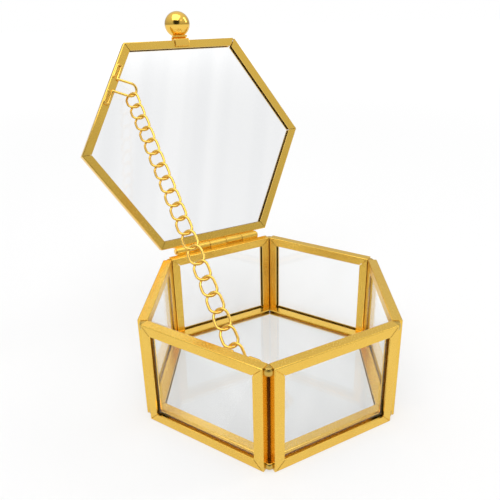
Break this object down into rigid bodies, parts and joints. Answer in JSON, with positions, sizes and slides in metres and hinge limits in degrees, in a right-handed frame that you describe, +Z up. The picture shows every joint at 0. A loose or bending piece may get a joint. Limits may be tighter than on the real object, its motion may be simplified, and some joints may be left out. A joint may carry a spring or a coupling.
{
  "type": "glass casket box",
  "caption": "Hexagonal trinket box of clear glass panes in brass channels, with a hinged lid, a ball knob and a chain that stops the lid.",
  "frame": {"origin": "middle of the hexagonal foot, on the surface that the box stands on", "axes": "+Z up, +Y towards the hinge, -Y towards the knob side of the closed lid"},
  "size_m": [0.0986, 0.1251, 0.1326],
  "materials": {
    "brass": "satin, fine hammered",
    "polished": "polished",
    "solder": "gilded solder",
    "glass": "clear, polished"
  },
  "bodies": {
    "box": {"front_frame": "brass", "front_left_frame": "brass", "rear_left_frame": "brass", "rear_frame": "brass", "rear_right_frame": "brass", "front_right_frame": "brass", "front_glass": "glass", "front_left_glass": "glass", "rear_left_glass": "glass", "rear_glass": "glass", "rear_right_glass": "glass", "front_right_glass": "glass", "floor_frame": "brass", "floor_glass": "glass", "rim_solder": "solder", "foot_solder": "solder", "box_bail": "brass", "hinge_box_leaf": "brass", "hinge_pin": "polished"},
    "lid": {"lid_frame": "brass", "lid_glass": "glass", "lid_bail": "brass", "hinge_lid_leaf": "brass", "knob_strap": "brass", "knob_ball": "polished"},
    "chain_link_01": {"chain_link_01": "brass"},
    "chain_link_02": {"chain_link_02": "brass"},
    "chain_link_03": {"chain_link_03": "brass"},
    "chain_link_04": {"chain_link_04": "brass"},
    "chain_link_05": {"chain_link_05": "brass"},
    "chain_link_06": {"chain_link_06": "brass"},
    "chain_link_07": {"chain_link_07": "brass"},
    "chain_link_08": {"chain_link_08": "brass"},
    "chain_link_09": {"chain_link_09": "brass"},
    "chain_link_10": {"chain_link_10": "brass"},
    "chain_link_11": {"chain_link_11": "brass"},
    "chain_link_12": {"chain_link_12": "brass"},
    "chain_link_13": {"chain_link_13": "brass"},
    "chain_link_14": {"chain_link_14": "brass"},
    "chain_link_15": {"chain_link_15": "brass"},
    "chain_link_16": {"chain_link_16": "brass"},
    "chain_link_17": {"chain_link_17": "brass"},
    "chain_link_18": {"chain_link_18": "brass"},
    "chain_link_19": {"chain_link_19": "brass"}
  },
  "joints": [
    {"name": "lid_hinge", "type": "hinge", "parent": "box", "child": "lid", "pos_m": [0, 0.0451, 0.03865], "axis": [-1, 0, 0], "range_deg": [-108, 0]},
    {"name": "link_01_turn", "type": "hinge", "parent": "lid", "child": "chain_link_01", "pos_m": [-0.0265, 0.06289, 0.10132], "axis": [-1, 0, 0], "range_deg": [0, 41]},
    {"name": "link_02_turn", "type": "hinge", "parent": "chain_link_01", "child": "chain_link_02", "pos_m": [-0.0265, 0.05891, 0.0983], "axis": [-1, 0, 0], "range_deg": [0, 30]},
    {"name": "link_03_turn", "type": "hinge", "parent": "chain_link_02", "child": "chain_link_03", "pos_m": [-0.0265, 0.05327, 0.09401], "axis": [-1, 0, 0], "range_deg": [-16, 0]},
    {"name": "link_04_turn", "type": "hinge", "parent": "chain_link_03", "child": "chain_link_04", "pos_m": [-0.0265, 0.04925, 0.09095], "axis": [-1, 0, 0], "range_deg": [-44, 0]},
    {"name": "link_05_turn", "type": "hinge", "parent": "chain_link_04", "child": "chain_link_05", "pos_m": [-0.0265, 0.04361, 0.08666], "axis": [-1, 0, 0], "range_deg": [-89, 0]},
    {"name": "link_06_turn", "type": "hinge", "parent": "chain_link_05", "child": "chain_link_06", "pos_m": [-0.0265, 0.03959, 0.0836], "axis": [-1, 0, 0], "range_deg": [-84, 0]},
    {"name": "link_07_turn", "type": "hinge", "parent": "chain_link_06", "child": "chain_link_07", "pos_m": [-0.0265, 0.03395, 0.07931], "axis": [-1, 0, 0], "range_deg": [0, 93]},
    {"name": "link_08_turn", "type": "hinge", "parent": "chain_link_07", "child": "chain_link_08", "pos_m": [-0.0265, 0.02993, 0.07625], "axis": [-1, 0, 0], "range_deg": [0, 93]},
    {"name": "link_09_turn", "type": "hinge", "parent": "chain_link_08", "child": "chain_link_09", "pos_m": [-0.0265, 0.02428, 0.07196], "axis": [-1, 0, 0], "range_deg": [0, 20]},
    {"name": "link_19_turn", "type": "hinge", "parent": "box", "child": "chain_link_19", "pos_m": [-0.0265, -0.028, 0.0322], "axis": [-1, 0, 0], "range_deg": [0, 110]},
    {"name": "link_18_turn", "type": "hinge", "parent": "chain_link_19", "child": "chain_link_18", "pos_m": [-0.0265, -0.02402, 0.03523], "axis": [-1, 0, 0], "range_deg": [0, 17]},
    {"name": "link_17_turn", "type": "hinge", "parent": "chain_link_18", "child": "chain_link_17", "pos_m": [-0.0265, -0.01838, 0.03952], "axis": [-1, 0, 0], "range_deg": [0, 7]},
    {"name": "link_16_turn", "type": "hinge", "parent": "chain_link_17", "child": "chain_link_16", "pos_m": [-0.0265, -0.01436, 0.04257], "axis": [-1, 0, 0], "range_deg": [-49, 0]},
    {"name": "link_15_turn", "type": "hinge", "parent": "chain_link_16", "child": "chain_link_15", "pos_m": [-0.0265, -0.00872, 0.04686], "axis": [-1, 0, 0], "range_deg": [-22, 0]},
    {"name": "link_14_turn", "type": "hinge", "parent": "chain_link_15", "child": "chain_link_14", "pos_m": [-0.0265, -0.0047, 0.04992], "axis": [-1, 0, 0], "range_deg": [-32, 0]},
    {"name": "link_13_turn", "type": "hinge", "parent": "chain_link_14", "child": "chain_link_13", "pos_m": [-0.0265, 0.00094, 0.05421], "axis": [-1, 0, 0], "range_deg": [-8, 0]},
    {"name": "link_12_turn", "type": "hinge", "parent": "chain_link_13", "child": "chain_link_12", "pos_m": [-0.0265, 0.00496, 0.05727], "axis": [-1, 0, 0], "range_deg": [-13, 0]},
    {"name": "link_11_turn", "type": "hinge", "parent": "chain_link_12", "child": "chain_link_11", "pos_m": [-0.0265, 0.0106, 0.06156], "axis": [-1, 0, 0], "range_deg": [-88, 0]},
    {"name": "link_10_turn", "type": "hinge", "parent": "chain_link_11", "child": "chain_link_10", "pos_m": [-0.0265, 0.01462, 0.06462], "axis": [-1, 0, 0], "range_deg": [-92, 0]}
  ],
  "couplings": [
    {"joint": "link_01_turn", "follows": "lid_hinge", "ratio": -0.3558},
    {"joint": "link_02_turn", "follows": "lid_hinge", "ratio": -0.2579},
    {"joint": "link_03_turn", "follows": "lid_hinge", "ratio": 0.1232},
    {"joint": "link_04_turn", "follows": "lid_hinge", "ratio": 0.3802},
    {"joint": "link_05_turn", "follows": "lid_hinge", "ratio": 0.802},
    {"joint": "link_06_turn", "follows": "lid_hinge", "ratio": 0.7578},
    {"joint": "link_07_turn", "follows": "lid_hinge", "ratio": -0.8346},
    {"joint": "link_08_turn", "follows": "lid_hinge", "ratio": -0.8389},
    {"joint": "link_09_turn", "follows": "lid_hinge", "ratio": -0.1651},
    {"joint": "link_19_turn", "follows": "lid_hinge", "ratio": -0.9972},
    {"joint": "link_18_turn", "follows": "lid_hinge", "ratio": -0.1344},
    {"joint": "link_17_turn", "follows": "lid_hinge", "ratio": -0.0461},
    {"joint": "link_16_turn", "follows": "lid_hinge", "ratio": 0.4267},
    {"joint": "link_15_turn", "follows": "lid_hinge", "ratio": 0.1792},
    {"joint": "link_14_turn", "follows": "lid_hinge", "ratio": 0.2713},
    {"joint": "link_13_turn", "follows": "lid_hinge", "ratio": 0.0515},
    {"joint": "link_12_turn", "follows": "lid_hinge", "ratio": 0.099},
    {"joint": "link_11_turn", "follows": "lid_hinge", "ratio": 0.7955},
    {"joint": "link_10_turn", "follows": "lid_hinge", "ratio": 0.8333}
  ]
}
